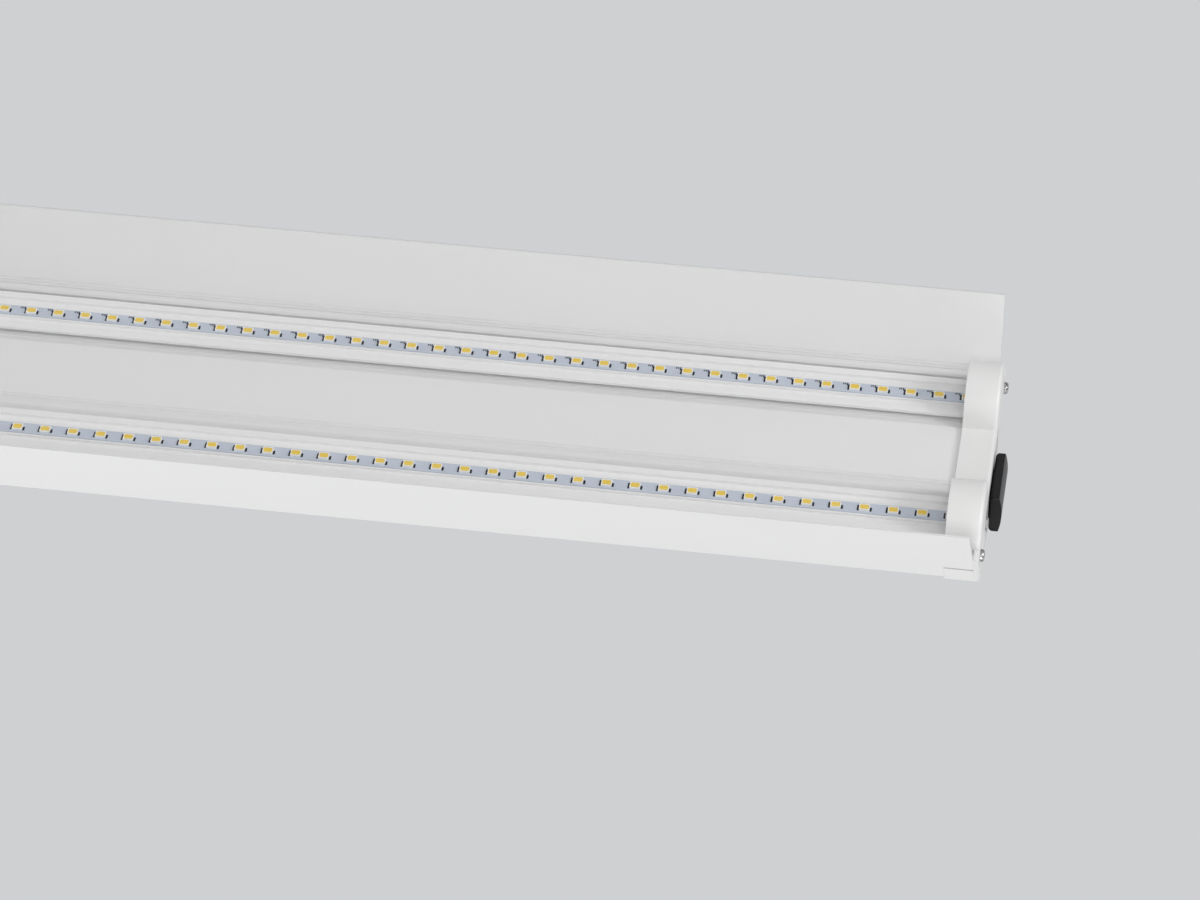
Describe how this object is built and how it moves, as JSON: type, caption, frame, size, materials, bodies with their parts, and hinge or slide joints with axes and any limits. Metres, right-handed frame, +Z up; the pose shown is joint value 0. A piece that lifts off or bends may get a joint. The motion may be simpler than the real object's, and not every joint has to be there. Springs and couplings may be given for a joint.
{
  "type": "hanging shop light",
  "caption": "Long white linkable shop light: flared sheet reflector, two LED strips under clear half-round lenses, moulded end caps, hinged outlet cover and folding hanging bails.",
  "frame": {"origin": "centre of the two keyholes in the flat back face", "axes": "+X along the light towards the linking outlet, +Z up out of the back as the light hangs, lamps facing -Z"},
  "size_m": [1.2058, 0.1242, 0.0475],
  "materials": {
    "painted_steel": "satin white powder coat",
    "white_rail": "white painted extrusion",
    "white_plastic": "moulded white plastic, fine satin",
    "clear_plastic": "clear extruded plastic",
    "board_mask": "pale blue-grey solder mask",
    "led_package": "yellow phosphor in a white body",
    "grey_plastic": "moulded grey plastic",
    "black_plastic": "moulded black plastic",
    "zinc_steel": "bright zinc plate",
    "wire_steel": "drawn spring wire, zinc plated",
    "brass": "plain",
    "nickel_pin": "nickel plated",
    "tray_plastic": "insulating sheet",
    "driver_mask": "green solder mask",
    "ferrite": "dark ferrite with yellow tape",
    "copper_coil": "enamelled winding",
    "capacitor_sleeve": "shrink sleeve",
    "chip_plastic": "moulded epoxy",
    "fuse_glass": "clear",
    "terminal_plastic": "moulded",
    "wire_black": "insulation",
    "wire_green": "insulation",
    "wire_red": "insulation"
  },
  "bodies": {
    "fixture": {"reflector_housing": "painted_steel", "lamp_plate": "painted_steel", "strip_rail_far": "white_rail", "strip_rail_near": "white_rail", "led_board_far": "board_mask", "led_board_near": "board_mask", "leds_far": "led_package", "leds_near": "led_package", "lens_far": "clear_plastic", "lens_near": "clear_plastic", "end_cap_outlet": "white_plastic", "end_cap_inlet": "white_plastic", "end_bracket_outlet": "zinc_steel", "end_bracket_inlet": "zinc_steel", "cap_screws_outlet": "zinc_steel", "cap_screws_inlet": "zinc_steel", "outlet_socket": "grey_plastic", "outlet_contacts": "brass", "cover_hinge_pin": "black_plastic", "inlet_socket": "black_plastic", "inlet_pins": "nickel_pin", "driver_tray": "tray_plastic", "driver_board": "driver_mask", "driver_transformer": "ferrite", "driver_choke": "copper_coil", "driver_capacitors": "capacitor_sleeve", "driver_chips": "chip_plastic", "driver_fuse": "fuse_glass", "driver_terminals": "terminal_plastic", "mains_wires": "wire_black", "earth_wires": "wire_green", "earth_screw": "zinc_steel", "led_leads": "wire_red"},
    "outlet_cover": {"outlet_cover": "black_plastic"},
    "bail_outlet": {"hanger_bail_outlet": "wire_steel"},
    "bail_inlet": {"hanger_bail_inlet": "wire_steel"}
  },
  "joints": [
    {"name": "outlet_cover_hinge", "type": "hinge", "parent": "fixture", "child": "outlet_cover", "pos_m": [0.6016, 0, -0.0027], "axis": [0, -1, 0], "range_deg": [0, 85]},
    {"name": "bail_outlet_hinge", "type": "hinge", "parent": "fixture", "child": "bail_outlet", "pos_m": [0.42, 0, 0.0021], "axis": [0, 1, 0], "range_deg": [0, 180]},
    {"name": "bail_inlet_hinge", "type": "hinge", "parent": "fixture", "child": "bail_inlet", "pos_m": [-0.42, 0, 0.0021], "axis": [0, -1, 0], "range_deg": [0, 180]}
  ]
}
